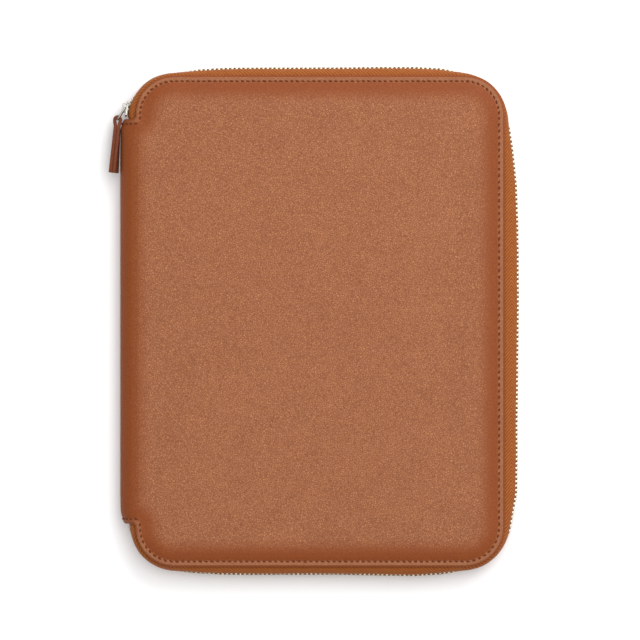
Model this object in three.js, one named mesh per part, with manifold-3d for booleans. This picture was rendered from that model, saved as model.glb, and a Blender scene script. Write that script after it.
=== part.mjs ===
// A zip-around leather document case for A4 papers, closed and lying on its back cover.
// Millimetres, +Z up, +Y along the spine, +X from the spine towards the zip side.
// The origin is the middle of the flat face that the case rests on.

import * as THREE from "three";
import { mergeVertices } from "three/addons/utils/BufferGeometryUtils.js";
import Module from "manifold-3d";

const { clamp, degToRad, lerp, smoothstep } = THREE.MathUtils;

// Leather cover: front, spine and back are one padded wrap
const coverWidth = 241.2;
const coverLength = 320;
const cornerRadius = 26;
const caseThickness = 24;
const panelThickness = 4.4;
const lipThickness = 2.1;
const stitchInset = 4.1;
const padWidth = 13.5;
const spineBulge = 9.2;
const spineReach = 18.2;
const spineWall = 2.3;
const spineDraw = 1.8;
const spineDrawLength = 9;
const notchFillet = 2.2;

// Zip: woven tapes and metal teeth
const tapeThickness = 1;
const tapeHem = 4;
const tapeTuck = 8;
const zipBulge = 8.8;
const teethThickness = 2.4;
const teethWidth = 5.8;

// Slider with its post and bridge
const sliderLength = 10;
const sliderMouthWidth = 9.8;
const sliderRearWidth = 8.6;
const sliderThickness = 5.8;
const sliderChannel = 4.4;
const sliderTapeSlot = 3.4;
const sliderFlange = 0.8;
const sliderRise = 3.3;
const postLength = 2.2;
const postWidth = 2.8;
const postSetback = 1.4;
const postTeethGap = 0.8;
const bridgeLength = 6;
const bridgeWidth = 2.8;
const bridgeWall = 0.8;
const bridgeShift = 0.6;

// Pull: wire ring and folded leather tab
const ringWire = 1.4;
const ringCorner = 1.2;
const ringPlay = 0.55;
const tabWidth = 8;
const tabNeck = 4;
const tabEnd = 4.2;
const tabLength = 37.8;
const tabLoop = 5.9;
const tabLean = degToRad(4.3);
const tabTwist = degToRad(17);
const tabSpineGap = 0.55;
const tabLoopDrop = 0.5;
const tabEndRadius = 0.9;

// Fits
const gap = 0.3;
const wirePlay = 0.25;

// Facets
const arcSteps = 8;
const topSteps = 3;
const filletSteps = 6;
const spineSteps = 5;
const rowSteps = 8;
const zipSteps = 12;
const tuckSteps = 3;
const tapeSteps = 4;
const wireSides = 8;
const tabSteps = 4;

// Worked out from the sizes above
const middle = caseThickness / 2;
const halfWidth = coverWidth / 2;
const halfLength = coverLength / 2;
const cornerX = halfWidth - cornerRadius;
const cornerY = halfLength - cornerRadius;
const spineEnd = cornerY - notchFillet;
const spineFace = -halfWidth - spineBulge;
const boardEdge = spineFace + spineReach;

// The cover's edge, from its inner face round the lip, over the stitch line and up the padded slope.
// inset is a share of stitchInset, slope of padWidth, sunk of the lip's step down from the panel's face,
// and under of the lip's thickness.
const edgeRings = [
  { inset: 0.1, slope: 0, sunk: 1, under: 1 },
  { inset: 0, slope: 0, sunk: 1, under: 0.75 },
  { inset: 0.05, slope: 0, sunk: 1, under: 0.35 },
  { inset: 0.36, slope: 0, sunk: 1, under: 0 },
  { inset: 0.85, slope: 0, sunk: 1, under: 0 },
  { inset: 1, slope: 0, sunk: 1, under: 0.12 },
  { inset: 1, slope: 0.06, sunk: 0.9, under: 0 },
  { inset: 1, slope: 0.2, sunk: 0.6, under: 0 },
  { inset: 1, slope: 0.4, sunk: 0.32, under: 0 },
  { inset: 1, slope: 0.65, sunk: 0.11, under: 0 },
  { inset: 1, slope: 1, sunk: 0, under: 0 },
];

// How far the closed zip stands out of the cover's edge, as a share of zipBulge.
// along is a share of the run named, and the runs come in the order that the zip passes them.
const zipBulges = [
  { run: "upper tuck", along: 0, out: 0.26 },
  { run: "upper tuck", along: 0.76, out: 0.4 },
  { run: "upper tuck", along: 1, out: 0.52 },
  { run: "upper left", along: 0.1, out: 0.52 },
  { run: "upper left", along: 0.2, out: 0.4 },
  { run: "upper left", along: 0.35, out: 0.3 },
  { run: "upper left", along: 0.6, out: 0.25 },
  { run: "upper left", along: 0.85, out: 0.18 },
  { run: "top", along: 0.01, out: 0.2 },
  { run: "top", along: 0.06, out: 0.37 },
  { run: "top", along: 0.18, out: 0.53 },
  { run: "top", along: 0.5, out: 0.56 },
  { run: "top", along: 0.88, out: 0.57 },
  { run: "top", along: 0.97, out: 0.31 },
  { run: "upper right", along: 0.1, out: 0.11 },
  { run: "upper right", along: 0.5, out: 0.02 },
  { run: "upper right", along: 0.85, out: 0.1 },
  { run: "right", along: 0, out: 0.22 },
  { run: "right", along: 0.05, out: 0.45 },
  { run: "right", along: 0.12, out: 0.74 },
  { run: "right", along: 0.22, out: 0.93 },
  { run: "right", along: 0.45, out: 1 },
  { run: "right", along: 0.75, out: 0.9 },
  { run: "right", along: 0.92, out: 0.86 },
  { run: "right", along: 0.97, out: 0.58 },
  { run: "lower right", along: 0.05, out: 0.38 },
  { run: "lower right", along: 0.35, out: 0.22 },
  { run: "lower right", along: 0.8, out: 0.25 },
  { run: "bottom", along: 0, out: 0.31 },
  { run: "bottom", along: 0.1, out: 0.6 },
  { run: "bottom", along: 0.18, out: 0.68 },
  { run: "bottom", along: 0.45, out: 0.59 },
  { run: "bottom", along: 0.8, out: 0.59 },
  { run: "bottom", along: 0.95, out: 0.45 },
  { run: "lower left", along: 0.1, out: 0.31 },
  { run: "lower left", along: 0.6, out: 0.24 },
  { run: "lower left", along: 0.9, out: 0.28 },
  { run: "lower tuck", along: 0, out: 0.37 },
  { run: "lower tuck", along: 1, out: 0.24 },
];

// A closed geometry from vertices and faces, with its faces turned outwards
function closedGeometry(points, faces) {
  const [a, b, c] = [0, 1, 2].map(() => new THREE.Vector3());
  let volume = 0;
  for (let i = 0; i < faces.length; i += 3) {
    a.fromArray(points[faces[i]]);
    b.fromArray(points[faces[i + 1]]);
    c.fromArray(points[faces[i + 2]]);
    volume += a.dot(b.cross(c));
  }
  const geometry = new THREE.BufferGeometry();
  geometry.setAttribute("position", new THREE.Float32BufferAttribute(points.flat(), 3));
  geometry.setIndex(volume < 0 ? faces.slice().reverse() : faces);
  return geometry;
}

// Faces of the strip between two rows of vertices
function strip(first, second, closed) {
  const faces = [];
  const count = closed ? first.length : first.length - 1;
  for (let i = 0; i < count; i++) {
    const j = (i + 1) % first.length;
    faces.push(first[i], first[j], second[j], first[i], second[j], second[i]);
  }
  return faces;
}

// A solid lofted through rings of points, closed on itself or capped at both ends
function loft(rings, capped) {
  const count = rings[0].length;
  const row = (k) => Array.from({ length: count }, (_, i) => (k % rings.length) * count + i);
  const faces = [];
  for (let k = 0; k < rings.length - (capped ? 1 : 0); k++) {
    faces.push(...strip(row(k), row(k + 1), true));
  }
  if (capped) {
    const last = (rings.length - 1) * count;
    for (let i = 0; i < count / 2 - 1; i++) {
      const [a, b, c, d] = [i, i + 1, count - 2 - i, count - 1 - i];
      const cap = b === c ? [] : [a, c, b, a, d, c];
      faces.push(...cap, ...cap.map((v) => v + last).reverse());
    }
  }
  return closedGeometry(rings.flat(), faces);
}

const wasm = await Module();
wasm.setup();

// A closed geometry as a solid that can be joined and cut
function solid(geometry) {
  const bare = geometry.clone();
  bare.deleteAttribute("normal");
  bare.deleteAttribute("uv");
  const merged = mergeVertices(bare, 1e-4);
  return new wasm.Manifold(
    new wasm.Mesh({
      numProp: 3,
      vertProperties: merged.attributes.position.array,
      triVerts: new Uint32Array(merged.index.array),
    }),
  );
}

function geometryOf(made) {
  const mesh = made.getMesh();
  const geometry = new THREE.BufferGeometry();
  geometry.setAttribute("position", new THREE.Float32BufferAttribute(mesh.vertProperties, 3));
  geometry.setIndex(new THREE.BufferAttribute(mesh.triVerts, 1));
  return geometry;
}

// An outline extruded along z, half to each side of the middle
function slab(outline, thickness) {
  const shape = outline instanceof THREE.Shape ? outline : new THREE.Shape(outline);
  const geometry = new THREE.ExtrudeGeometry(shape, { depth: thickness, bevelEnabled: false });
  return geometry.translate(0, 0, -thickness / 2);
}

// Points along a quarter turn, from one angle to another round a centre
function turnPoints(centre, radius, from, to, steps) {
  return Array.from({ length: steps + 1 }, (_, i) => {
    const angle = lerp(from, to, i / steps);
    return { x: centre[0] + radius * Math.cos(angle), y: centre[1] + radius * Math.sin(angle), angle };
  });
}

// Leather cover

// Wall of the wrap: board and padding end inside the spine's turn, where only leather is left
function wallAt(turned) {
  return lerp(panelThickness, spineWall, smoothstep(turned, 0, 0.45));
}

// How far the spine is drawn in towards each of its ends
function drawnIn(y, turned) {
  const fromEnd = spineEnd - Math.abs(y);
  return spineDraw * smoothstep(turned, 0.45, 1) * (1 - smoothstep(fromEnd, 0, spineDrawLength));
}

// A point of the front half in the wrap's thickness, sunk from its outer face by a share of the step
// down to the lip and a share of the lip. Past the board the section is a quarter ellipse.
function wallPoint(x, y, sunk, under) {
  const turned = clamp((boardEdge - x) / spineReach, 0, 1);
  const depth = (wallAt(turned) - lipThickness) * sunk + lipThickness * under;
  const level = (middle - depth) * Math.sqrt(1 - turned * turned);
  return [turned > 0 ? x + depth * turned + drawnIn(y, turned) : x, y, level];
}

// The upper run of the cover's outline, from the right side over the top to the end of the spine.
// Each column of the cover starts at one of its points, which move inwards with the inset.
function upperRun() {
  const right = turnPoints([cornerX, cornerY], 1, 0, Math.PI / 2, arcSteps);
  const left = turnPoints([-cornerX, cornerY], 1, Math.PI / 2, Math.PI, arcSteps);
  const round = (point, side) => ({
    at: (inset) => [
      side * cornerX + (cornerRadius - inset) * Math.cos(point.angle),
      cornerY + (cornerRadius - inset) * Math.sin(point.angle),
    ],
  });
  const columns = right.map((point) => round(point, 1));
  for (let i = 1; i < topSteps; i++) {
    columns.push({ at: (inset) => [lerp(cornerX, -cornerX, i / topSteps), halfLength - inset] });
  }
  columns.push(...left.map((point) => round(point, -1)));
  for (let i = 1; i <= filletSteps; i++) {
    const angle = (i / filletSteps) * (Math.PI / 2);
    columns.push({
      at: (inset) => [
        -halfWidth - notchFillet + (notchFillet + inset) * Math.cos(angle),
        cornerY - (notchFillet + inset) * Math.sin(angle),
      ],
    });
  }
  const start = Math.asin((boardEdge + halfWidth + notchFillet) / spineReach);
  for (let i = 1; i <= spineSteps; i++) {
    const turned = Math.sin(lerp(start, Math.PI / 2, i / spineSteps));
    columns.push({ at: (inset) => [boardEdge - spineReach * turned, spineEnd - inset] });
  }
  return columns;
}

function leatherCover() {
  const run = upperRun();
  const half = run.length - 1;
  const points = [];

  // A vertex at a column, counted over the front, round the spine and over the back, and a row
  function vertex(column, row, inset, sunk, under) {
    const side = column <= half ? 1 : -1;
    const [x, y] = run[Math.min(column, 2 * half - column)].at(inset);
    const [wx, wy, level] = wallPoint(x, y * (1 - (2 * row) / rowSteps), sunk, under);
    points.push([wx, wy, middle + side * level]);
    return points.length - 1;
  }

  // The closed loop of columns and rows round the wrap's edge
  const loop = [];
  for (let column = 0; column <= 2 * half; column++) loop.push([column, 0]);
  for (let row = 1; row < rowSteps; row++) loop.push([2 * half, row]);
  for (let column = 2 * half; column >= 0; column--) loop.push([column, rowSteps]);
  for (let row = rowSteps - 1; row > 0; row--) loop.push([0, row]);

  const rings = edgeRings.map((ring) => {
    const inset = stitchInset * ring.inset + padWidth * ring.slope;
    return loop.map(([column, row]) => vertex(column, row, inset, ring.sunk, ring.under));
  });

  // A whole face of the wrap inside one ring, as a grid that shares the ring's vertices
  function face(ring, spec) {
    const inset = stitchInset * spec.inset + padWidth * spec.slope;
    const known = new Map(loop.map(([column, row], i) => [`${column} ${row}`, ring[i]]));
    const grid = Array.from({ length: 2 * half + 1 }, (_, column) =>
      Array.from(
        { length: rowSteps + 1 },
        (_, row) => known.get(`${column} ${row}`) ?? vertex(column, row, inset, spec.sunk, spec.under),
      ),
    );
    return grid.slice(1).flatMap((cells, i) => strip(grid[i], cells, false));
  }

  const faces = rings.slice(1).flatMap((ring, i) => strip(rings[i], ring, true));
  const inner = face(rings[0], edgeRings[0]);
  const outer = face(rings.at(-1), edgeRings.at(-1));
  return closedGeometry(points, [...faces, ...inner, ...outer.reverse()]);
}

// Zip

// The zip's way round the cover's edge, as runs of edge points with their outward directions
function zipRuns() {
  const straight = (name, from, to, out, steps) => ({
    name,
    length: Math.hypot(to[0] - from[0], to[1] - from[1]),
    steps,
    at: (share) => ({ x: lerp(from[0], to[0], share), y: lerp(from[1], to[1], share), out }),
  });
  const corner = (name, centre, from) => ({
    name,
    length: (cornerRadius * Math.PI) / 2,
    steps: arcSteps,
    at: (share) => {
      const out = from - (share * Math.PI) / 2;
      return {
        x: centre[0] + cornerRadius * Math.cos(out),
        y: centre[1] + cornerRadius * Math.sin(out),
        out,
      };
    },
  });
  const tucked = spineEnd - tapeTuck;
  const turn = Math.PI / 2;
  return [
    straight("upper tuck", [-halfWidth, tucked], [-halfWidth, cornerY], 2 * turn, tuckSteps),
    corner("upper left", [-cornerX, cornerY], 2 * turn),
    straight("top", [-cornerX, halfLength], [cornerX, halfLength], turn, zipSteps),
    corner("upper right", [cornerX, cornerY], turn),
    straight("right", [halfWidth, cornerY], [halfWidth, -cornerY], 0, zipSteps),
    corner("lower right", [cornerX, -cornerY], 0),
    straight("bottom", [cornerX, -halfLength], [-cornerX, -halfLength], -turn, zipSteps),
    corner("lower left", [-cornerX, -cornerY], -turn),
    straight("lower tuck", [-halfWidth, -cornerY], [-halfWidth, -tucked], -2 * turn, tuckSteps),
  ];
}

const runs = zipRuns();
const runStart = Object.fromEntries(
  runs.map((run, i) => [run.name, runs.slice(0, i).reduce((sum, r) => sum + r.length, 0)]),
);
const runLength = Object.fromEntries(runs.map((run) => [run.name, run.length]));
const bulgeKnots = zipBulges.map(({ run, along, out }) => ({
  way: runStart[run] + along * runLength[run],
  bulge: out * zipBulge,
}));

// How far the teeth's outer side stands out at a way along the zip, on a smooth curve through the knots
function bulgeAt(way) {
  const last = bulgeKnots.length - 1;
  const found = bulgeKnots.findIndex((knot) => knot.way > way);
  const k = clamp(found < 0 ? last - 1 : found - 1, 0, last - 1);
  const slope = (i) => {
    const [before, after] = [bulgeKnots[Math.max(i - 1, 0)], bulgeKnots[Math.min(i + 1, last)]];
    return (after.bulge - before.bulge) / (after.way - before.way);
  };
  const [here, next] = [bulgeKnots[k], bulgeKnots[k + 1]];
  const step = next.way - here.way;
  const t = clamp((way - here.way) / step, 0, 1);
  const rest = 1 - t;
  return (
    here.bulge * (1 + 2 * t) * rest * rest +
    next.bulge * (3 - 2 * t) * t * t +
    step * t * rest * (slope(k) * rest - slope(k + 1) * t)
  );
}

// The edge point, its outward direction and the middle of the teeth at a way along the zip
function zipAt(way) {
  const run = runs.findLast((r) => runStart[r.name] <= way) ?? runs[0];
  const { x, y, out } = run.at((way - runStart[run.name]) / run.length);
  return { x, y, out, teeth: bulgeAt(way) - teethThickness / 2 };
}

// A section of the zip, given as outward and upward places, set at a way along it
function zipSection(way, places) {
  const { x, y, out } = zipAt(way);
  return places.map(([o, z]) => [x + o * Math.cos(out), y + o * Math.sin(out), z]);
}

const zipWays = runs.flatMap((run, i) => {
  const count = i === runs.length - 1 ? run.steps + 1 : run.steps;
  return Array.from({ length: count }, (_, k) => runStart[run.name] + (k / run.steps) * run.length);
});

// A tape's section: a flat hem under the lip, then a curve out and round to the teeth
function tapePlaces(teeth) {
  const hemLevel = middle - panelThickness - gap - tapeThickness / 2;
  const teethLevel = teethWidth / 2 + gap;
  const line = [[-tapeHem, hemLevel]];
  for (let i = 0; i <= tapeSteps; i++) {
    const t = i / tapeSteps;
    const bend = 2 * t * (1 - t);
    line.push([
      bend * 0.8 * teeth + t * t * teeth,
      ((1 - t) * (1 - t) + bend) * hemLevel + t * t * teethLevel,
    ]);
  }
  const beside = (i, side) => {
    const [before, after] = [line[Math.max(i - 1, 0)], line[Math.min(i + 1, line.length - 1)]];
    const [dx, dz] = [after[0] - before[0], after[1] - before[1]];
    const scale = (side * tapeThickness) / 2 / Math.hypot(dx, dz);
    return [line[i][0] - dz * scale, line[i][1] + dx * scale];
  };
  const outer = line.map((_, i) => beside(i, 1));
  const inner = line.map((_, i) => beside(i, -1));
  return [...outer, ...inner.reverse()];
}

function zipTape(side) {
  const rings = zipWays.map((way) =>
    zipSection(way, tapePlaces(zipAt(way).teeth).map(([o, z]) => [o, middle + side * z])),
  );
  return loft(rings, true);
}

// One row of teeth as a band, from the slider's post to the end of the zip under the spine
function zipTeeth(side, firstWay) {
  const ways = [firstWay, ...zipWays.filter((way) => way > firstWay + sliderLength / 4)];
  const rings = ways.map((way) => {
    const { teeth } = zipAt(way);
    const places = [
      [teeth - teethThickness / 2, teethWidth / 2 - gap],
      [teeth - teethThickness / 2, gap / 2],
      [teeth + teethThickness / 2, gap / 2],
      [teeth + teethThickness / 2, teethWidth / 2 - gap],
      [teeth + teethThickness / 4, teethWidth / 2],
      [teeth - teethThickness / 4, teethWidth / 2],
    ];
    return zipSection(way, places.map(([o, z]) => [o, middle + side * z]));
  });
  return loft(rings, true);
}

// Slider

// The slider's own frame on the teeth: x along the zip away from the spine, y outwards, z up
const sliderWay = runStart["upper left"] + sliderRise;
const onTeeth = (way) => new THREE.Vector3(...zipSection(way, [[zipAt(way).teeth, middle]])[0]);
const [sliderMouth, sliderRear] = [-1, 1].map((end) => onTeeth(sliderWay + (end * sliderLength) / 2));
const sliderCentre = sliderMouth.clone().lerp(sliderRear, 0.5).lerp(onTeeth(sliderWay), 0.5);
const sliderAlong = sliderRear.clone().sub(sliderMouth);
const sliderTurn = Math.atan2(sliderAlong.y, sliderAlong.x);
const teethStart = sliderWay - sliderLength / 2 + postSetback + postLength + postTeethGap;

// The bridge stands on the outer plate and leaves room for the ring's wire under it
const pivotRise = sliderThickness / 2 + wirePlay + ringWire / 2;
const bridgeRoom = wirePlay + ringWire + wirePlay;
const pivot = new THREE.Vector3(bridgeShift, pivotRise, 0)
  .applyAxisAngle(new THREE.Vector3(0, 0, 1), sliderTurn)
  .add(sliderCentre);

// A block in the slider's frame: along, outwards and half its width across
function sliderBlock(x0, x1, y0, y1, halfSpan) {
  return slab([[x0, y0], [x1, y0], [x1, y1], [x0, y1]].map(([x, y]) => new THREE.Vector2(x, y)), 2 * halfSpan);
}

// The plates' outline, wide at the mouth and narrow behind, as a slab through the whole slider
function sliderOutline(margin) {
  const [mouth, rear] = [sliderMouthWidth / 2 - margin, sliderRearWidth / 2 - margin];
  const [front, back] = [-sliderLength / 2, sliderLength / 2];
  const chamfer = sliderLength / 8;
  const corners = [
    [front, chamfer - mouth],
    [front + chamfer, -mouth],
    [back - chamfer, -rear],
    [back, chamfer - rear],
    [back, rear - chamfer],
    [back - chamfer, rear],
    [front + chamfer, mouth],
    [front, mouth - chamfer],
  ];
  return corners.map(([x, z]) => new THREE.Vector2(x, z));
}

function slider() {
  const across = (outline, y0, y1) =>
    slab(outline, y1 - y0).translate(0, 0, (y0 + y1) / 2).rotateX(-Math.PI / 2);
  const [face, channel, slot] = [sliderThickness / 2, sliderChannel / 2, sliderTapeSlot / 2];
  const long = sliderLength;
  let body = solid(across(sliderOutline(0), -face, face));
  body = body.subtract(solid(sliderBlock(-long, long, -slot, slot, long)));
  const between = sliderOutline(sliderFlange).map((p) => new THREE.Vector2(p.x * 1.3, p.y));
  body = body.subtract(solid(across(between, -channel, channel)));
  const postStart = -long / 2 + postSetback;
  const post = sliderBlock(postStart, postStart + postLength, -face + gap, face - gap, postWidth / 2);
  body = body.add(solid(post));
  const [near, far] = [bridgeShift - bridgeLength / 2, bridgeShift + bridgeLength / 2];
  const top = face + bridgeRoom + bridgeWall;
  const bridge = solid(sliderBlock(near, far, face - gap, top, bridgeWidth / 2)).subtract(
    solid(sliderBlock(near + bridgeWall, far - bridgeWall, face, face + bridgeRoom, bridgeWidth)),
  );
  return geometryOf(body.add(bridge));
}

// Pull

// The tab's loop hangs beside the end of the spine, and the ring reaches from the bridge to it
const loopCentre = new THREE.Vector3(
  spineFace + spineDraw - tabSpineGap - tabLoop / 2,
  spineEnd - tabLoopDrop,
  middle,
);
const ringReach = loopCentre.clone().sub(pivot);

// The ring lies in the plane of its reach and z, with one bar in the bridge and one in the tab
function pullRing() {
  const reach = Math.hypot(ringReach.x, ringReach.y);
  const arm = tabWidth / 2 + ringPlay + ringWire / 2;
  const corners = [[0, -arm], [reach, -arm], [reach, arm], [0, arm]];
  const path = corners.flatMap(([x, z], i) => {
    const inX = x === 0 ? ringCorner : reach - ringCorner;
    const inZ = z < 0 ? ringCorner - arm : arm - ringCorner;
    return turnPoints([inX, inZ], ringCorner, Math.PI + (i * Math.PI) / 2, Math.PI * 1.5 + (i * Math.PI) / 2, 3);
  });
  const rings = path.map(({ x, y: z, angle }) =>
    Array.from({ length: wireSides }, (_, k) => {
      const side = ((k + 0.5) / wireSides) * 2 * Math.PI;
      const out = (ringWire / 2) * Math.cos(side);
      return [x + out * Math.cos(angle), (ringWire / 2) * Math.sin(side), z + out * Math.sin(angle)];
    }),
  );
  return loft(rings, false);
}

// The tab seen along the ring's bar: a loop round the bar, drawn in to the neck, then two plies together.
// From the neck to the tip it twists, with its upper edge turning away from the spine.
function pullTab() {
  const [loop, neck, end] = [tabLoop / 2, tabNeck / 2, tabEnd / 2];
  const neckAt = tabLoop * 1.3;
  const tip = tabLength - loop;
  const along = (share) => lerp(neckAt, tip, share / tabSteps);
  const beside = (share) => lerp(neck, end, share / tabSteps);
  const shape = new THREE.Shape();
  shape.moveTo(neckAt, neck);
  for (let i = 1; i < tabSteps; i++) shape.lineTo(along(i), beside(i));
  shape.lineTo(tip - tabEndRadius, end);
  shape.quadraticCurveTo(tip, end, tip, end - tabEndRadius);
  shape.lineTo(tip, tabEndRadius - end);
  shape.quadraticCurveTo(tip, -end, tip - tabEndRadius, -end);
  for (let i = tabSteps - 1; i >= 0; i--) shape.lineTo(along(i), -beside(i));
  shape.quadraticCurveTo(neckAt / 2, -neck, loop * Math.SQRT1_2, -loop * Math.SQRT1_2);
  shape.absarc(0, 0, loop, -Math.PI / 4, Math.PI / 4, true);
  shape.quadraticCurveTo(neckAt / 2, neck, neckAt, neck);
  const hole = new THREE.Path();
  hole.absarc(0, 0, ringWire / 2 + wirePlay, 0, 2 * Math.PI, false);
  shape.holes.push(hole);
  const settings = { depth: tabWidth, bevelEnabled: false, curveSegments: 5 };
  const geometry = new THREE.ExtrudeGeometry(shape, settings).translate(0, 0, -tabWidth / 2);
  const { position } = geometry.attributes;
  const point = new THREE.Vector3();
  for (let i = 0; i < position.count; i++) {
    point.fromBufferAttribute(position, i);
    const twist = tabTwist * clamp((point.x - neckAt) / (tip - neckAt), 0, 1);
    position.setXYZ(i, ...point.applyAxisAngle(new THREE.Vector3(1, 0, 0), twist).toArray());
  }
  return geometry;
}

// Materials
const tanLeather = { color: 0xa86d4c, roughness: 0.55, metalness: 0 };
const darkLeather = { color: 0x824123, roughness: 0.5, metalness: 0 };
const tapeCloth = { color: 0xb5703c, roughness: 0.8, metalness: 0 };
const nickel = { color: 0xcfcac2, roughness: 0.25, metalness: 1 };

const group = new THREE.Group();

function place(name, geometry, material) {
  const mesh = new THREE.Mesh(geometry, new THREE.MeshStandardMaterial(material));
  mesh.name = name;
  group.add(mesh);
  return mesh;
}

place("leather_cover", leatherCover(), tanLeather);
for (const [name, side] of [["upper", 1], ["lower", -1]]) {
  place(`zip_tape_${name}`, zipTape(side), tapeCloth);
  place(`zip_teeth_${name}`, zipTeeth(side, teethStart), nickel);
}

const sliderMesh = place("slider", slider(), nickel);
sliderMesh.position.copy(sliderCentre);
sliderMesh.rotation.z = sliderTurn;

const ringMesh = place("pull_ring", pullRing(), nickel);
ringMesh.position.copy(pivot);
ringMesh.rotation.z = Math.atan2(ringReach.y, ringReach.x);

const tabMesh = place("pull_tab", pullTab(), darkLeather);
tabMesh.position.copy(loopCentre);
tabMesh.rotation.z = -Math.PI / 2 - tabLean;

export default group;
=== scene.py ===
"""A zip-around leather document case, closed and lying on its back cover, seen from straight above.

Grained tan leather over padding, a woven herringbone zip tape, polished nickel teeth and slider,
and a folded leather pull.
"""

import math
import random

import bmesh
import bpy
import numpy as np
from mathutils import Matrix, Vector, noise
from mathutils.bvhtree import BVHTree


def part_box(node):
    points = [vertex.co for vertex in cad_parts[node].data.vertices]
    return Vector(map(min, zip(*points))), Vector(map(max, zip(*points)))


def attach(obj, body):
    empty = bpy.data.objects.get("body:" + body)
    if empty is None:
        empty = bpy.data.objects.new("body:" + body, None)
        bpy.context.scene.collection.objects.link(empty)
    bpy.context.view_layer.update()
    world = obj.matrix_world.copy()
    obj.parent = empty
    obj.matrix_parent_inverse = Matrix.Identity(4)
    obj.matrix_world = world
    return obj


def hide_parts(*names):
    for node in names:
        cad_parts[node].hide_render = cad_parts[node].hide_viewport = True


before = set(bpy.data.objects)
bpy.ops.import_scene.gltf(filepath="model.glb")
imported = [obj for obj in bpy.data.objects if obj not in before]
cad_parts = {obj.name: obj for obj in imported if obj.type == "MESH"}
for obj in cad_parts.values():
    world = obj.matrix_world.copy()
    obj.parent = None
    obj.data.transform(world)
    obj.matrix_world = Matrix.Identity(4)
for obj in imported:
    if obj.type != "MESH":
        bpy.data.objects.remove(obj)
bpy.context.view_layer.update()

MM = 0.001

# The cover's own sizes, from the frame
COVER_LOW, COVER_HIGH = (Vector(corner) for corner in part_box("leather_cover"))
HALF_WIDTH = COVER_HIGH.x
HALF_LENGTH = COVER_HIGH.y
THICKNESS = COVER_HIGH.z
MIDDLE = THICKNESS / 2
SPINE_FACE = COVER_LOW.x
CORNER_RADIUS = 26 * MM
CORNER_X = HALF_WIDTH - CORNER_RADIUS
CORNER_Y = HALF_LENGTH - CORNER_RADIUS
SPINE_REACH = 18.2 * MM
NOTCH_FILLET = 2.2 * MM
SPINE_END = CORNER_Y - NOTCH_FILLET
STITCH_INSET = 4.1 * MM
SPINE_STITCH_INSET = 3.2 * MM

# The zip and the stitches
TAPE_HALF = 0.5 * MM
# The panel, a small gap and half the tape, down from the cover's outer face to the hem's middle
TAPE_HEM_DEPTH = 5.2 * MM
TEETH_LEVEL = 1.6 * MM
TOOTH_PITCH = 2.89 * MM
TOOTH_SIZE = (2.5 * MM, 1.6 * MM, 3.9 * MM)
STITCH_SIZE = (2.7 * MM, 1.6 * MM, 1 * MM)
STITCH_SINK = 0.05 * MM
# One pitch for each run of the edge, in mm, from the upper end of the spine round to the lower
STITCH_PITCHES = [3.9, 4.2, 3.55, 4.25, 4.1, 4.3, 3.8, 4.3, 3.9]
SPINE_STITCHES = 9
# How far outside the cover a ray starts that looks for the leather under a stitch
RAY_START = 60 * MM

# How far the spine is filled out beside the pull, with the tab still clear of it
SPINE_FILL = 0.4 * MM

# The photograph's frame
PHOTO_SIZE = 640
PHOTO_SCALE = 0.65 * MM
PHOTO_CENTRE = (319.55, 321.3)
CAMERA_HEIGHT = 6.0
SENSOR = 36.0

random.seed(7)


def camera():
    """A long lens straight above, framed as the photograph is."""
    data = bpy.data.cameras.new("camera")
    seen = bpy.data.objects.new("camera", data)
    bpy.context.collection.objects.link(seen)
    shown = PHOTO_SIZE * PHOTO_SCALE
    data.sensor_width = SENSOR
    data.lens = SENSOR * (CAMERA_HEIGHT - THICKNESS) / shown
    data.clip_end = 20
    aside = [(PHOTO_SIZE / 2 - centre) * PHOTO_SCALE for centre in PHOTO_CENTRE]
    seen.location = (aside[0], -aside[1], CAMERA_HEIGHT)
    bpy.context.scene.camera = seen


camera()


# Materials


def linear(hex_colour):
    """An sRGB hex colour as the linear colour that shaders take."""
    channels = [int(hex_colour[i : i + 2], 16) / 255 for i in (1, 3, 5)]
    curve = [c / 12.92 if c <= 0.04045 else ((c + 0.055) / 1.055) ** 2.4 for c in channels]
    return (*curve, 1.0)


def add(tree, kind, links=None, **settings):
    """Adds a shader node with its settings, its fixed inputs and its links."""
    made = tree.nodes.new("ShaderNode" + kind)
    for name, value in settings.items():
        setattr(made, name, value)
    for socket, value in (links or {}).items():
        if isinstance(value, bpy.types.NodeSocket):
            tree.links.new(value, made.inputs[socket])
        else:
            made.inputs[socket].default_value = value
    return made


def new_material(name):
    """A material with a bare Principled shader, and its tree."""
    material = bpy.data.materials.new(name)
    material.use_nodes = True
    tree = material.node_tree
    return material, tree, tree.nodes["Principled BSDF"]


def ramp(tree, factor, stops):
    """A colour ramp through (place, sRGB hex) stops."""
    made = add(tree, "ValToRGB", {"Fac": factor})
    elements = made.color_ramp.elements
    while len(elements) < len(stops):
        elements.new(0.5)
    for element, (place, colour) in zip(elements, stops):
        element.position = place
        element.color = linear(colour)
    return made.outputs["Color"]


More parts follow.
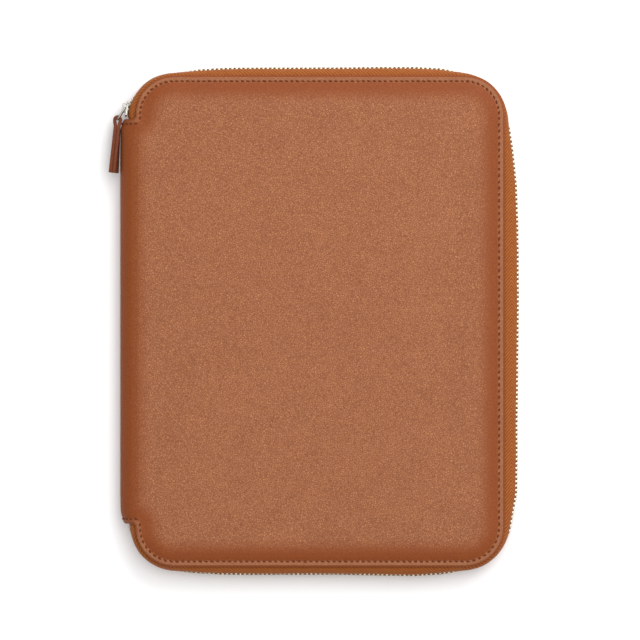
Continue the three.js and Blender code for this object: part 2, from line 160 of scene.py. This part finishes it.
def grained_leather(name, flat, shaded, lip, grain=1.3, relief=0.1):
    """Milled cowhide, dyed through and lightly waxed: pebbled where it lies flat and pulled smoother
    where it is stretched over the padding. Painted shade darkens the padding's slopes, the spine, the
    turned edge and a thin line along the turn, and a painted highlight lightens the lip band.
    Each colour argument is a pair, the colour in the creases and the colour on the pebbles: the first
    for flat leather, the second for the painted shade, the third for the painted highlight."""
    material, tree, shader = new_material(name)
    place = add(tree, "TexCoord").outputs["Object"]
    # Painted shade: the padding's slopes, the spine and the turned edge take a darker, more saturated
    # copy of the leather
    slope = add(tree, "Attribute", attribute_name="painted_shade_mask").outputs["Fac"]
    # Painted highlight: the lip band beside the stitches takes its own lighter-creased copy of the
    # leather
    lip_highlight_mask = add(tree, "Attribute", attribute_name="painted_lip_highlight").outputs["Fac"]
    # Painted shade in a thin line where the edge turns down
    turn_shade_mask = add(tree, "Attribute", attribute_name="painted_turn_shade").outputs["Fac"]
    warp = add(tree, "TexNoise", {"Vector": place, "Scale": 420, "Detail": 2})
    pushed = add(
        tree, "VectorMath", {0: warp.outputs["Color"], "Scale": 0.0012}, operation="SCALE"
    ).outputs[0]
    wavy = add(tree, "VectorMath", {0: place, 1: pushed}, operation="ADD").outputs[0]
    pebbles = add(
        tree, "TexVoronoi", {"Vector": wavy, "Scale": 1 / (grain * MM)}, feature="DISTANCE_TO_EDGE"
    )
    small = add(
        tree, "TexVoronoi", {"Vector": wavy, "Scale": 2.1 / (grain * MM)}, feature="DISTANCE_TO_EDGE"
    )
    crease = add(
        tree, "MapRange", {"Value": pebbles.outputs["Distance"], "From Max": 0.42}
    ).outputs[0]
    fine = add(tree, "MapRange", {"Value": small.outputs["Distance"], "From Max": 0.38}).outputs[0]
    both = add(tree, "Mix", {"Factor": 0.5, "A": crease, "B": fine}).outputs[0]
    pores = add(tree, "TexNoise", {"Vector": place, "Scale": 1500, "Detail": 3}).outputs["Fac"]
    height = add(tree, "Mix", {"Factor": 0.25, "A": both, "B": pores}).outputs[0]
    patchy = add(tree, "TexNoise", {"Vector": place, "Scale": 60, "Detail": 4}).outputs["Fac"]

    tone = add(tree, "Mix", {"Factor": 0.1, "A": height, "B": patchy}).outputs[0]
    # Three copies of one leather: flat, painted shade, and painted highlight on the lip band
    shades = [ramp(tree, tone, [(0.26, deep), (0.68, light)]) for deep, light in (flat, shaded, lip)]
    calm = add(
        tree, "Mix", {"Factor": slope, "A": shades[0], "B": shades[1]}, data_type="RGBA"
    ).outputs["Result"]
    painted_lip_highlight = add(
        tree, "Mix", {"Factor": lip_highlight_mask, "A": calm, "B": shades[2]}, data_type="RGBA"
    ).outputs["Result"]
    # The line along the edge's turn is painted shade, in the shaded copy's crease colour
    line = add(tree, "MapRange", {"Value": turn_shade_mask, "From Min": 0.3, "To Max": 0.6}).outputs[0]
    coloured = add(
        tree, "Mix", {"Factor": line, "A": painted_lip_highlight, "B": linear(shaded[0])}, data_type="RGBA"
    ).outputs["Result"]
    tree.links.new(coloured, shader.inputs["Base Color"])

    polish = add(tree, "MapRange", {"Value": height, "To Min": 0.66, "To Max": 0.5}).outputs[0]
    tree.links.new(polish, shader.inputs["Roughness"])
    shader.inputs["IOR"].default_value = 1.45
    shader.inputs["Specular IOR Level"].default_value = 0.3
    strength = add(tree, "MapRange", {"Value": slope, "To Min": 1.0, "To Max": 0.35}).outputs[0]
    bump = add(
        tree, "Bump", {"Strength": strength, "Distance": relief * MM, "Height": height}
    ).outputs[0]
    tree.links.new(bump, shader.inputs["Normal"])
    return material


def woven_tape():
    """Polyester zip tape in herringbone: two bands of slanting ribs that meet in a ridge, each rib
    of fine twisted yarn. The UV map runs along the tape and across it, in metres."""
    material, tree, shader = new_material("woven_zip_tape")
    along_across = add(tree, "UVMap", uv_map="weave").outputs[0]
    split = add(tree, "SeparateXYZ", {0: along_across})
    along, across = split.outputs["X"], split.outputs["Y"]
    ridge = 8.2 * MM
    rib = 2.35 * MM
    yarn = 0.42 * MM
    aside = add(tree, "Math", {0: across, 1: ridge}, operation="SUBTRACT").outputs[0]
    mirrored = add(tree, "Math", {0: aside}, operation="ABSOLUTE").outputs[0]
    leaned = add(
        tree, "Math", {0: mirrored, 1: -1.3, 2: along}, operation="MULTIPLY_ADD"
    ).outputs[0]
    turns = add(tree, "Math", {0: leaned, 1: math.tau / rib}, operation="MULTIPLY").outputs[0]
    ribs = add(tree, "Math", {0: turns}, operation="SINE").outputs[0]
    yarn_turns = add(
        tree, "Math", {0: across, 1: math.tau / yarn}, operation="MULTIPLY"
    ).outputs[0]
    yarns = add(tree, "Math", {0: yarn_turns}, operation="SINE").outputs[0]
    raised = add(
        tree, "Math", {0: yarns, 1: 0.18, 2: ribs}, operation="MULTIPLY_ADD"
    ).outputs[0]
    height = add(
        tree, "MapRange", {"Value": raised, "From Min": -1.2, "From Max": 1.2}
    ).outputs[0]
    dusty = add(
        tree, "TexNoise", {"Vector": add(tree, "TexCoord").outputs["Object"], "Scale": 420}
    ).outputs["Fac"]
    tone = add(tree, "Mix", {"Factor": 0.4, "A": height, "B": dusty}).outputs[0]
    colour = ramp(tree, tone, [(0.25, "#7C3C11"), (0.5, "#8D4B1A"), (0.75, "#9F5D28")])
    tree.links.new(colour, shader.inputs["Base Color"])
    shader.inputs["Roughness"].default_value = 0.75
    shader.inputs["Specular IOR Level"].default_value = 0.2
    shader.inputs["Sheen Weight"].default_value = 0.04
    shader.inputs["Sheen Roughness"].default_value = 0.5
    bump = add(tree, "Bump", {"Strength": 0.4, "Distance": 0.1 * MM, "Height": height}).outputs[0]
    tree.links.new(bump, shader.inputs["Normal"])
    return material


def polished_nickel(name, roughness, tint, bright):
    """Nickel-plated brass, tumbled bright: clear reflections, with fine wear that dulls them, and
    painted shade where a piece carries the gap mask, as the teeth do where their two rows meet."""
    material, tree, shader = new_material(name)
    place = add(tree, "TexCoord").outputs["Object"]
    wear = add(tree, "TexNoise", {"Vector": place, "Scale": 900, "Detail": 4}).outputs["Fac"]
    shader.inputs["Metallic"].default_value = 1.0
    clean = ramp(tree, wear, [(0.35, tint), (0.7, bright)])
    # Painted shade: darker towards the zip's middle, between the two rows of teeth
    gap_shade_mask = add(tree, "Attribute", attribute_name="painted_gap_shade").outputs["Fac"]
    tone = add(
        tree, "Mix", {"Factor": gap_shade_mask, "A": clean, "B": linear("#3A2812")}, data_type="RGBA"
    ).outputs["Result"]
    tree.links.new(tone, shader.inputs["Base Color"])
    dull = add(
        tree, "MapRange", {"Value": wear, "To Min": roughness * 0.7, "To Max": roughness * 1.4}
    ).outputs[0]
    tree.links.new(dull, shader.inputs["Roughness"])
    bump = add(tree, "Bump", {"Strength": 0.15, "Distance": 0.05 * MM, "Height": wear}).outputs[0]
    tree.links.new(bump, shader.inputs["Normal"])
    return material


def waxed_thread():
    """Waxed, twisted linen thread, coloured darker than the leather: the dark is painted shade of the
    needle holes that it is pulled into.
    """
    material, tree, shader = new_material("waxed_thread")
    place = add(tree, "TexCoord").outputs["Object"]
    twist = add(tree, "TexNoise", {"Vector": place, "Scale": 1400, "Detail": 3}).outputs["Fac"]
    # Dark thread colours: painted shade of the needle holes
    colour = ramp(tree, twist, [(0.3, "#4E1F0A"), (0.7, "#7A3A18")])
    tree.links.new(colour, shader.inputs["Base Color"])
    shader.inputs["Roughness"].default_value = 0.75
    shader.inputs["Specular IOR Level"].default_value = 0.15
    bump = add(tree, "Bump", {"Strength": 0.5, "Distance": 0.1 * MM, "Height": twist}).outputs[0]
    tree.links.new(bump, shader.inputs["Normal"])
    return material


# Making pieces


def in_edit(piece):
    """Makes a piece the only one selected and opens it for editing."""
    if bpy.context.object and bpy.context.object.mode != "OBJECT":
        bpy.ops.object.mode_set(mode="OBJECT")
    bpy.ops.object.select_all(action="DESELECT")
    piece.select_set(True)
    bpy.context.view_layer.objects.active = piece
    bpy.ops.object.mode_set(mode="EDIT")


def finish_edit():
    bpy.ops.object.mode_set(mode="OBJECT")


def apply_modifiers(piece):
    bpy.ops.object.select_all(action="DESELECT")
    piece.select_set(True)
    bpy.context.view_layer.objects.active = piece
    for modifier in list(piece.modifiers):
        bpy.ops.object.modifier_apply(modifier=modifier.name)


def modifier(piece, kind, **settings):
    made = piece.modifiers.new(kind.lower(), kind)
    for name, value in settings.items():
        setattr(made, name, value)
    return made


def round_edges(piece, width, segments, angle):
    """A bevel on the edges that are sharper than an angle in degrees."""
    limit = math.radians(angle)
    modifier(
        piece, "BEVEL", width=width, segments=segments, limit_method="ANGLE", angle_limit=limit
    )


def copy_of(node, name):
    """A copy of a CAD node with its loose triangles merged into quads."""
    piece = bpy.data.objects.new(name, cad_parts[node].data.copy())
    bpy.context.collection.objects.link(piece)
    piece.data.materials.clear()
    in_edit(piece)
    bpy.ops.mesh.select_all(action="SELECT")
    bpy.ops.mesh.remove_doubles(threshold=0.005 * MM)
    bpy.ops.mesh.tris_convert_to_quads(
        face_threshold=math.radians(30), shape_threshold=math.radians(120)
    )
    finish_edit()
    return piece


def piece_from(name, vertices, faces):
    mesh = bpy.data.meshes.new(name)
    mesh.from_pydata([tuple(v) for v in vertices], [], [tuple(f) for f in faces])
    mesh.validate()
    piece = bpy.data.objects.new(name, mesh)
    bpy.context.collection.objects.link(piece)
    return piece


def many(name, template, places):
    """One mesh of many copies of a small template, each under its own matrix."""
    points = np.array([v.co for v in template.data.vertices])
    faces = [tuple(face.vertices) for face in template.data.polygons]
    all_points = []
    all_faces = []
    for matrix in places:
        turn = np.array(matrix)
        start = len(all_points) * len(points)
        all_points.append(points @ turn[:3, :3].T + turn[:3, 3])
        all_faces.extend(tuple(i + start for i in face) for face in faces)
    bpy.data.objects.remove(template)
    return piece_from(name, np.vstack(all_points), all_faces)


def smooth(piece, angle=40):
    bpy.ops.object.select_all(action="DESELECT")
    piece.select_set(True)
    bpy.context.view_layer.objects.active = piece
    bpy.ops.object.shade_smooth_by_angle(angle=math.radians(angle))


def give(piece, material, body, slot, *nodes):
    """Finishes a piece: its material, the body that carries it and the nodes that it stands for."""
    piece.data.materials.clear()
    piece.data.materials.append(material)
    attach(piece, body)
    if nodes:
        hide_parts(*nodes)


# The way round the cover's edge


def edge_runs():
    """The edge from one end of the spine to the other, as (length, place at a share) runs."""

    def straight(start, end, out):
        length = math.dist(start, end)
        return length, lambda s: (*(a + (b - a) * s for a, b in zip(start, end)), out)

    def corner(x, y, start):
        def place(s):
            out = start - s * math.pi / 2
            return x + CORNER_RADIUS * math.cos(out), y + CORNER_RADIUS * math.sin(out), out

        return CORNER_RADIUS * math.pi / 2, place

    tuck = SPINE_END - 8 * MM
    return [
        straight((-HALF_WIDTH, tuck), (-HALF_WIDTH, CORNER_Y), math.pi),
        corner(-CORNER_X, CORNER_Y, math.pi),
        straight((-CORNER_X, HALF_LENGTH), (CORNER_X, HALF_LENGTH), math.pi / 2),
        corner(CORNER_X, CORNER_Y, math.pi / 2),
        straight((HALF_WIDTH, CORNER_Y), (HALF_WIDTH, -CORNER_Y), 0),
        corner(CORNER_X, -CORNER_Y, 0),
        straight((CORNER_X, -HALF_LENGTH), (-CORNER_X, -HALF_LENGTH), -math.pi / 2),
        corner(-CORNER_X, -CORNER_Y, -math.pi / 2),
        straight((-HALF_WIDTH, -CORNER_Y), (-HALF_WIDTH, -tuck), -math.pi),
    ]


RUNS = edge_runs()
WAY_LENGTH = sum(length for length, _ in RUNS)


def edge_at(way):
    """The edge point at a way along it, and its outward direction."""
    for length, place in RUNS:
        if way <= length:
            return place(way / length)
        way -= length
    return RUNS[-1][1](1)


def teeth_line():
    """The middle of the closed teeth, outwards from the edge, by way along it: where the frame's
    upper tape ends."""
    samples = np.linspace(0, WAY_LENGTH, 4000)
    edge = np.array([edge_at(way) for way in samples])
    found = {}
    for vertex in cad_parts["zip_tape_upper"].data.vertices:
        x, y, z = vertex.co
        if z - MIDDLE > 3.95 * MM:
            continue
        nearest = np.argmin((edge[:, 0] - x) ** 2 + (edge[:, 1] - y) ** 2)
        ex, ey, out = edge[nearest]
        stands = (x - ex) * math.cos(out) + (y - ey) * math.sin(out)
        found.setdefault(round(samples[nearest] / MM), []).append(stands)
    ways = sorted(found)
    return np.array(ways) * MM, np.array([np.mean(found[way]) for way in ways])


TEETH_WAYS, TEETH_OUTS = teeth_line()
TEETH_START = RUNS[0][0] + 3.4 * MM


def teeth_at(way):
    """The middle of the teeth, a little further out everywhere but along the bottom edge."""
    out = edge_at(way)[2]
    stretched = 0.45 * MM * min(1, 2.5 * (1 + math.sin(out)))
    return float(np.interp(way, TEETH_WAYS, TEETH_OUTS)) + stretched


# Leather cover


def clamp01(value):
    return min(max(value, 0.0), 1.0)


def ease(value, low, high):
    t = clamp01((value - low) / (high - low))
    return t * t * (3 - 2 * t)


def inside_edge(x, y):
    """How far a point lies inside the cover's outline, the notches beside the spine's ends included."""
    y = abs(y)
    if abs(x) > CORNER_X and y > CORNER_Y:
        return CORNER_RADIUS - math.hypot(abs(x) - CORNER_X, y - CORNER_Y)
    if x < -HALF_WIDTH - NOTCH_FILLET:
        left = SPINE_END - y
    elif y < CORNER_Y:
        left = math.hypot(x + HALF_WIDTH + NOTCH_FILLET, CORNER_Y - y) - NOTCH_FILLET
    else:
        left = x + HALF_WIDTH
    return min(HALF_WIDTH - x, HALF_LENGTH - y, left)


def sculpt_cover(piece):
    """Crowns the padding, dips it beside the ends of the spine and fills the spine out by the pull."""
    for vertex in piece.data.vertices:
        x, y, z = vertex.co
        outer = ease(z, THICKNESS - 3.2 * MM, THICKNESS - 0.4 * MM)
        inset = min(inside_edge(x, y), x + HALF_WIDTH)
        soft = noise.noise(Vector((x * 14, y * 14, 3.1)))
        crown = ease(inset, 4 * MM, 70 * MM)
        dent = 0.0
        for side in (1, -1):
            away = math.hypot(x + 107 * MM, (y - side * 128 * MM) * 0.8)
            dent += math.exp(-((away / (9 * MM)) ** 2))
        rise = 0.7 * crown + 0.22 * soft * ease(inset, 8 * MM, 20 * MM) - 0.8 * dent
        vertex.co.z += outer * rise * MM
        below = SPINE_END - y
        full = ease(below, -1 * MM, 3 * MM) * (1 - ease(below, 6 * MM, 12 * MM))
        on_face = ease(-x, -SPINE_FACE - 5 * MM, -SPINE_FACE - 1 * MM)
        vertex.co.x -= SPINE_FILL * full * on_face


def mark_leather(piece):
    """Attributes for painted shade on the padding's slopes, the spine and the turned edge, for a
    painted highlight on the lip band, and for painted shade in a thin line along the edge's turn."""
    mesh = piece.data
    shaded = mesh.attributes.new("painted_shade_mask", "FLOAT", "POINT")
    painted_lip_highlight = mesh.attributes.new("painted_lip_highlight", "FLOAT", "POINT")
    turn_shade_mask = mesh.attributes.new("painted_turn_shade", "FLOAT", "POINT")
    for i, vertex in enumerate(mesh.vertices):
        x, y, z = vertex.co
        inset = inside_edge(x, y)
        in_spine = ease(-x, HALF_WIDTH - 12 * MM, HALF_WIDTH + 4 * MM)
        flat_from = ease(inset, 8 * MM, 20 * MM)
        slope = ease(inset, STITCH_INSET, STITCH_INSET + 1 * MM) * (1 - flat_from)
        turned_edge = 1 - ease(inset, 1.0 * MM, 1.8 * MM)
        # Painted shade on the slopes, the spine and the turned edge
        shaded.data[i].value = max(in_spine, slope, turned_edge)
        lip_end = ease(inset, STITCH_INSET - 0.6 * MM, STITCH_INSET)
        lip = ease(inset, 1.1 * MM, 1.5 * MM) * (1 - lip_end)
        # Painted shade in a thin line where the edge turns down
        turn_shade_mask.data[i].value = 1 - ease(abs(inset - 0.95 * MM), 0.15 * MM, 0.5 * MM)
        # Painted highlight on the lip band, weaker towards the spine
        painted_lip_highlight.data[i].value = lip * (1 - 0.7 * in_spine)


def leather_cover():
    """The cover from the frame, with its long edges divided so that the padding can be shaped."""
    piece = copy_of("leather_cover", "case_cover")
    in_edit(piece)
    bpy.ops.mesh.select_all(action="DESELECT")
    finish_edit()
    mesh = piece.data
    for edge in mesh.edges:
        a, b = (mesh.vertices[i].co for i in edge.vertices)
        edge.select = (a - b).length > 12 * MM
    in_edit(piece)
    bpy.ops.mesh.select_mode(type="EDGE")
    bpy.ops.mesh.subdivide(number_cuts=7, quadcorner="INNERVERT")
    finish_edit()
    modifier(piece, "SUBSURF", levels=1, render_levels=1)
    apply_modifiers(piece)
    sculpt_cover(piece)
    mark_leather(piece)
    smooth(piece, 60)
    return piece


# Zip


def tape_line(way, steps):
    """The middle line of a tape's section at a way: outwards, and up from the middle of the zip."""
    hem_level = MIDDLE - TAPE_HEM_DEPTH
    reach = teeth_at(way)
    reach += 0.35 * MM * (1 - ease(reach, 1 * MM, 3 * MM))
    line = [(-4 * MM, hem_level), (-2 * MM, hem_level)]
    for i in range(steps + 1):
        t = i / steps
        bend = 2 * t * (1 - t)
        out = (bend * 0.8 + t * t) * reach
        level = ((1 - t) ** 2 + bend) * hem_level + t * t * TEETH_LEVEL
        line.append((out, level))
    return line


def zip_tape(side, name):
    """A woven tape with its weave's UV map, from the hem under the lip to the teeth."""
    steps = 12
    ways = np.arange(0, WAY_LENGTH, 2 * MM)
    vertices, faces, weave = [], [], []
    for way in ways:
        x, y, out = edge_at(way)
        line = tape_line(way, steps)
        ring, across, run = [], [], 0.0
        for i, (o, z) in enumerate(line):
            before, after = line[max(i - 1, 0)], line[min(i + 1, len(line) - 1)]
            do, dz = after[0] - before[0], after[1] - before[1]
            scale = TAPE_HALF / math.hypot(do, dz)
            run += math.dist(line[i], line[max(i - 1, 0)])
            wave = 0.12 * MM * math.sin(way / (7 * MM)) * math.sin(math.pi * i / len(line))
            inner = (o + wave - dz * scale, z + do * scale)
            outer = (o + wave + dz * scale, z - do * scale)
            ring.append((inner, outer))
            across.append(run)
        section = [pair[0] for pair in ring] + [pair[1] for pair in reversed(ring)]
        widths = across + across[::-1]
        for (o, z), v in zip(section, widths):
            vertices.append((x + o * math.cos(out), y + o * math.sin(out), MIDDLE + side * z))
            weave.append((way, v))
    count = len(section)
    for k in range(len(ways) - 1):
        for i in range(count):
            j = (i + 1) % count
            face = (k * count + i, k * count + j, (k + 1) * count + j, (k + 1) * count + i)
            faces.append(face if side > 0 else face[::-1])
    first = tuple(range(count))
    last = tuple(i + (len(ways) - 1) * count for i in first)
    faces += [first[::-1], last] if side > 0 else [first, last[::-1]]
    piece = piece_from(name, vertices, faces)
    layer = piece.data.uv_layers.new(name="weave")
    for loop in piece.data.loops:
        layer.data[loop.index].uv = weave[loop.vertex_index]
    in_edit(piece)
    bpy.ops.mesh.select_all(action="SELECT")
    bpy.ops.mesh.normals_make_consistent(inside=False)
    finish_edit()
    smooth(piece, 50)
    return piece


def tooth():
    """One stamped tooth: a block with rounded edges, its head drawn in to lock between two others."""
    bpy.ops.mesh.primitive_cube_add(size=1)
    piece = bpy.context.object
    bpy.ops.object.mode_set(mode="EDIT")
    bpy.ops.transform.resize(value=TOOTH_SIZE)
    bpy.ops.mesh.select_all(action="DESELECT")
    bpy.ops.object.mode_set(mode="OBJECT")
    for face in piece.data.polygons:
        face.select = face.normal.z < -0.5
    bpy.ops.object.mode_set(mode="EDIT")
    bpy.ops.transform.resize(value=(0.86, 0.62, 1))
    bpy.ops.mesh.select_all(action="DESELECT")
    bpy.ops.object.mode_set(mode="OBJECT")
    modifier(piece, "BEVEL", width=0.35 * MM, segments=2)
    apply_modifiers(piece)
    return piece


def zip_teeth(side, name):
    """A row of teeth from the slider to the spine, half a pitch away from the row that it meets."""
    start = TEETH_START + (0.5 if side < 0 else 0) * TOOTH_PITCH
    places = []
    for way in np.arange(start, WAY_LENGTH - 1 * MM, TOOTH_PITCH):
        x, y, out = edge_at(way)
        stands = teeth_at(way)
        stands += (random.uniform(-0.06, 0.06) - 0.8 * (1 - ease(stands, 1 * MM, 3 * MM))) * MM
        middle = Vector((x + stands * math.cos(out), y + stands * math.sin(out), MIDDLE))
        turn = Matrix.Rotation(out, 4, "Z") @ Matrix.Diagonal((1, side, side, 1))
        places.append(Matrix.Translation(middle + Vector((0, 0, side * 1.05 * MM))) @ turn)
    piece = many(name, tooth(), places)
    # Painted shade on each tooth towards the zip's middle, where the two rows meet
    painted_gap_shade = piece.data.attributes.new("painted_gap_shade", "FLOAT", "POINT")
    for i, vertex in enumerate(piece.data.vertices):
        painted_gap_shade.data[i].value = 1 - ease(abs(vertex.co.z - MIDDLE), 1.0 * MM, 1.8 * MM)
    smooth(piece, 35)
    return piece


# Stitches


def stitch_places(cover):
    """Where the stitches lie on both panels and across both ends of the spine, as matrices."""
    tree = BVHTree.FromObject(cover, bpy.context.evaluated_depsgraph_get())
    places = []

    def lay(start, ray, along):
        hit, normal, _, _ = tree.ray_cast(start, ray)
        if hit is None:
            return
        forward = (along - normal * along.dot(normal)).normalized()
        across = normal.cross(forward)
        turn = Matrix((forward, across, normal)).transposed().to_4x4()
        slant = Matrix.Rotation(math.radians(-14 + random.uniform(-4, 4)), 4, "Z")
        pulled = Matrix.Diagonal((random.uniform(0.85, 1.08), random.uniform(0.75, 1.05), 1, 1))
        places.append(Matrix.Translation(hit - normal * STITCH_SINK) @ turn @ slant @ pulled)

    inset = STITCH_INSET - 0.25 * MM
    for side in (1, -1):
        for index, ((length, place), pitch) in enumerate(zip(RUNS, STITCH_PITCHES)):
            tucked = index in (0, len(RUNS) - 1)
            count = max(round(length / (pitch * MM)), 1)
            for k in range(count):
                x, y, out = place((k + 0.5) / count)
                if tucked and abs(y) < SPINE_END - 1 * MM:
                    continue
                above = MIDDLE + side * RAY_START
                start = Vector((x - inset * math.cos(out), y - inset * math.sin(out), above))
                along = Vector((math.sin(out), -math.cos(out), 0))
                lay(start, Vector((0, 0, -side)), along)
    axis = SPINE_FACE + SPINE_REACH - 6 * MM
    for end in (1, -1):
        for k in range(SPINE_STITCHES):
            angle = math.pi * (0.5 + (k + 0.5) / SPINE_STITCHES)
            ray = Vector((-math.cos(angle), 0, -math.sin(angle)))
            y = end * (SPINE_END - SPINE_STITCH_INSET)
            start = Vector((axis, y, MIDDLE)) - ray * RAY_START
            on_the_side = abs(math.cos(angle)) > 0.7
            lay(start, ray, Vector((0, 0, 1)) if on_the_side else Vector((1, 0, 0)))
    return places


def stitch():
    """One stitch: a short length of thread, thick in the middle and pulled down at both ends."""
    bpy.ops.mesh.primitive_uv_sphere_add(segments=8, ring_count=6, radius=0.5)
    piece = bpy.context.object
    bpy.ops.object.mode_set(mode="EDIT")
    bpy.ops.transform.resize(value=STITCH_SIZE)
    bpy.ops.object.mode_set(mode="OBJECT")
    return piece


# Slider and pull


def slider():
    """The slider from the frame, with its edges rounded."""
    piece = copy_of("slider", "zip_slider")
    round_edges(piece, 0.28 * MM, 3, 35)
    apply_modifiers(piece)
    smooth(piece, 35)
    return piece


def pull_ring():
    """The wire ring from the frame, made round."""
    piece = copy_of("pull_ring", "pull_wire_ring")
    modifier(piece, "SUBSURF", levels=1, render_levels=1)
    apply_modifiers(piece)
    smooth(piece, 180)
    return piece


TAB_LEAN = math.radians(4.3)
TAB_TWIST = math.radians(17)
TAB_RADIUS = 2.95 * MM
TAB_LOOP = Vector((SPINE_FACE + 1.25 * MM - TAB_RADIUS, SPINE_END - 0.5 * MM, MIDDLE))


def pull_tab():
    """A strip of leather folded round the ring's bar, its two plies lying together to the free end."""
    ply = 2.12 * MM
    loop = TAB_RADIUS - ply / 2
    tip = 34.7 * MM
    neck = 4.8 * MM
    width = 8 * MM
    line = []
    for i in range(17):
        s = tip + (neck - tip) * i / 16
        line.append((s, ply / 2 + 0.03 * MM + 0.1 * MM * (s / tip) ** 2))
    inner = line[-1][1]
    for i in range(1, 7):
        s = neck * (1 - i / 7)
        line.append((s, inner + (loop - inner) * ease(i / 7, 0, 1)))
    turn = [(loop * math.cos(a), loop * math.sin(a)) for a in np.linspace(math.pi / 2, math.pi, 5)]
    upper = line + turn
    path = upper + [(s, -n) for s, n in reversed(upper[:-1])]
    rows = 7
    vertices, faces = [], []
    for s, n in path:
        roll = TAB_TWIST * clamp01((s - neck) / (tip - neck))
        for k in range(rows):
            z = width * (k / (rows - 1) - 0.5)
            side = n * math.cos(roll) - z * math.sin(roll)
            rise = n * math.sin(roll) + z * math.cos(roll)
            vertices.append((s, side, rise))
    for i in range(len(path) - 1):
        for k in range(rows - 1):
            a = i * rows + k
            faces.append((a, a + 1, a + rows + 1, a + rows))
    piece = piece_from("pull_leather_tab", vertices, faces)
    modifier(piece, "SOLIDIFY", thickness=ply, offset=0)
    round_edges(piece, 0.22 * MM, 2, 50)
    modifier(piece, "SUBSURF", levels=1, render_levels=1)
    apply_modifiers(piece)
    turned = Matrix.Rotation(-math.pi / 2 - TAB_LEAN, 4, "Z")
    piece.data.transform(Matrix.Translation(TAB_LOOP) @ turned)
    in_edit(piece)
    bpy.ops.mesh.select_all(action="SELECT")
    bpy.ops.mesh.normals_make_consistent(inside=False)
    finish_edit()
    smooth(piece, 50)
    return piece


# Build

# Cover colours: flat leather, a darker copy as painted shade on slopes, spine and turned edge, and a
# copy as painted highlight on the lip band
cover_leather = grained_leather(
    "milled_tan_cowhide", ("#7C4426", "#B5784F"), ("#7A3911", "#8D4717"), ("#885030", "#9E6A48")
)
pull_leather = grained_leather(
    "waxed_pull_leather",
    ("#5C280F", "#80421F"),
    ("#4A1E0A", "#5E2A10"),
    ("#6A3218", "#8A5032"),
    grain=1.2,
    relief=0.06,
)
tape = woven_tape()
bright_nickel = polished_nickel("bright_nickel", 0.2, "#8A867E", "#B4B0A8")
teeth_nickel = polished_nickel("nickel_teeth", 0.28, "#B8A88C", "#DACDB4")
thread = waxed_thread()

cover = leather_cover()
give(cover, cover_leather, "case", "cover_leather", "leather_cover")

for side, which in ((1, "upper"), (-1, "lower")):
    give(zip_tape(side, f"woven_tape_{which}"), tape, "case", "zip_tape", f"zip_tape_{which}")
    row = zip_teeth(side, f"nickel_teeth_{which}")
    give(row, teeth_nickel, "case", "zip_metal", f"zip_teeth_{which}")

stitches = many("cover_stitches", stitch(), stitch_places(cover))
smooth(stitches, 180)
give(stitches, thread, "case", "cover_leather")

give(slider(), bright_nickel, "case", "zip_metal", "slider")
give(pull_ring(), bright_nickel, "pull", "zip_metal", "pull_ring")
give(pull_tab(), pull_leather, "pull", "pull_leather", "pull_tab")


# Studio


def floor():
    """A pale seamless sweep under the case."""
    bpy.ops.object.select_all(action="DESELECT")
    bpy.ops.mesh.primitive_plane_add(size=12, location=(0, 0, 0))
    piece = bpy.context.object
    piece.name = "studio_floor"
    material, tree, shader = new_material("white_paper")
    shader.inputs["Base Color"].default_value = linear("#F6F6F6")
    shader.inputs["Roughness"].default_value = 0.9
    shader.inputs["Emission Color"].default_value = (1, 1, 1, 1)
    shader.inputs["Emission Strength"].default_value = 0.08
    piece.data.materials.append(material)


def softbox(name, place, target, size, power):
    """A rectangular light that the camera doesn't see, turned to its target."""
    data = bpy.data.lights.new(name, "AREA")
    data.shape = "RECTANGLE"
    data.size, data.size_y = size
    data.energy = power
    light = bpy.data.objects.new(name, data)
    bpy.context.collection.objects.link(light)
    light.visible_camera = False
    light.location = place
    light.rotation_euler = (Vector(target) - Vector(place)).to_track_quat("-Z", "Y").to_euler()


floor()
softbox("overhead", (0.3, 0.3, 2.4), (0, 0, 0), (2.0, 2.0), 31)
softbox("top_side", (0.7, 1.2, 1.25), (0, 0, 0), (1.7, 1.2), 23)
world = bpy.data.worlds.new("studio")
bpy.context.scene.world = world
world.use_nodes = True
world.node_tree.nodes["Background"].inputs["Color"].default_value = (1, 1, 1, 1)
world.node_tree.nodes["Background"].inputs["Strength"].default_value = 0.57
bpy.context.scene.view_settings.view_transform = "Standard"
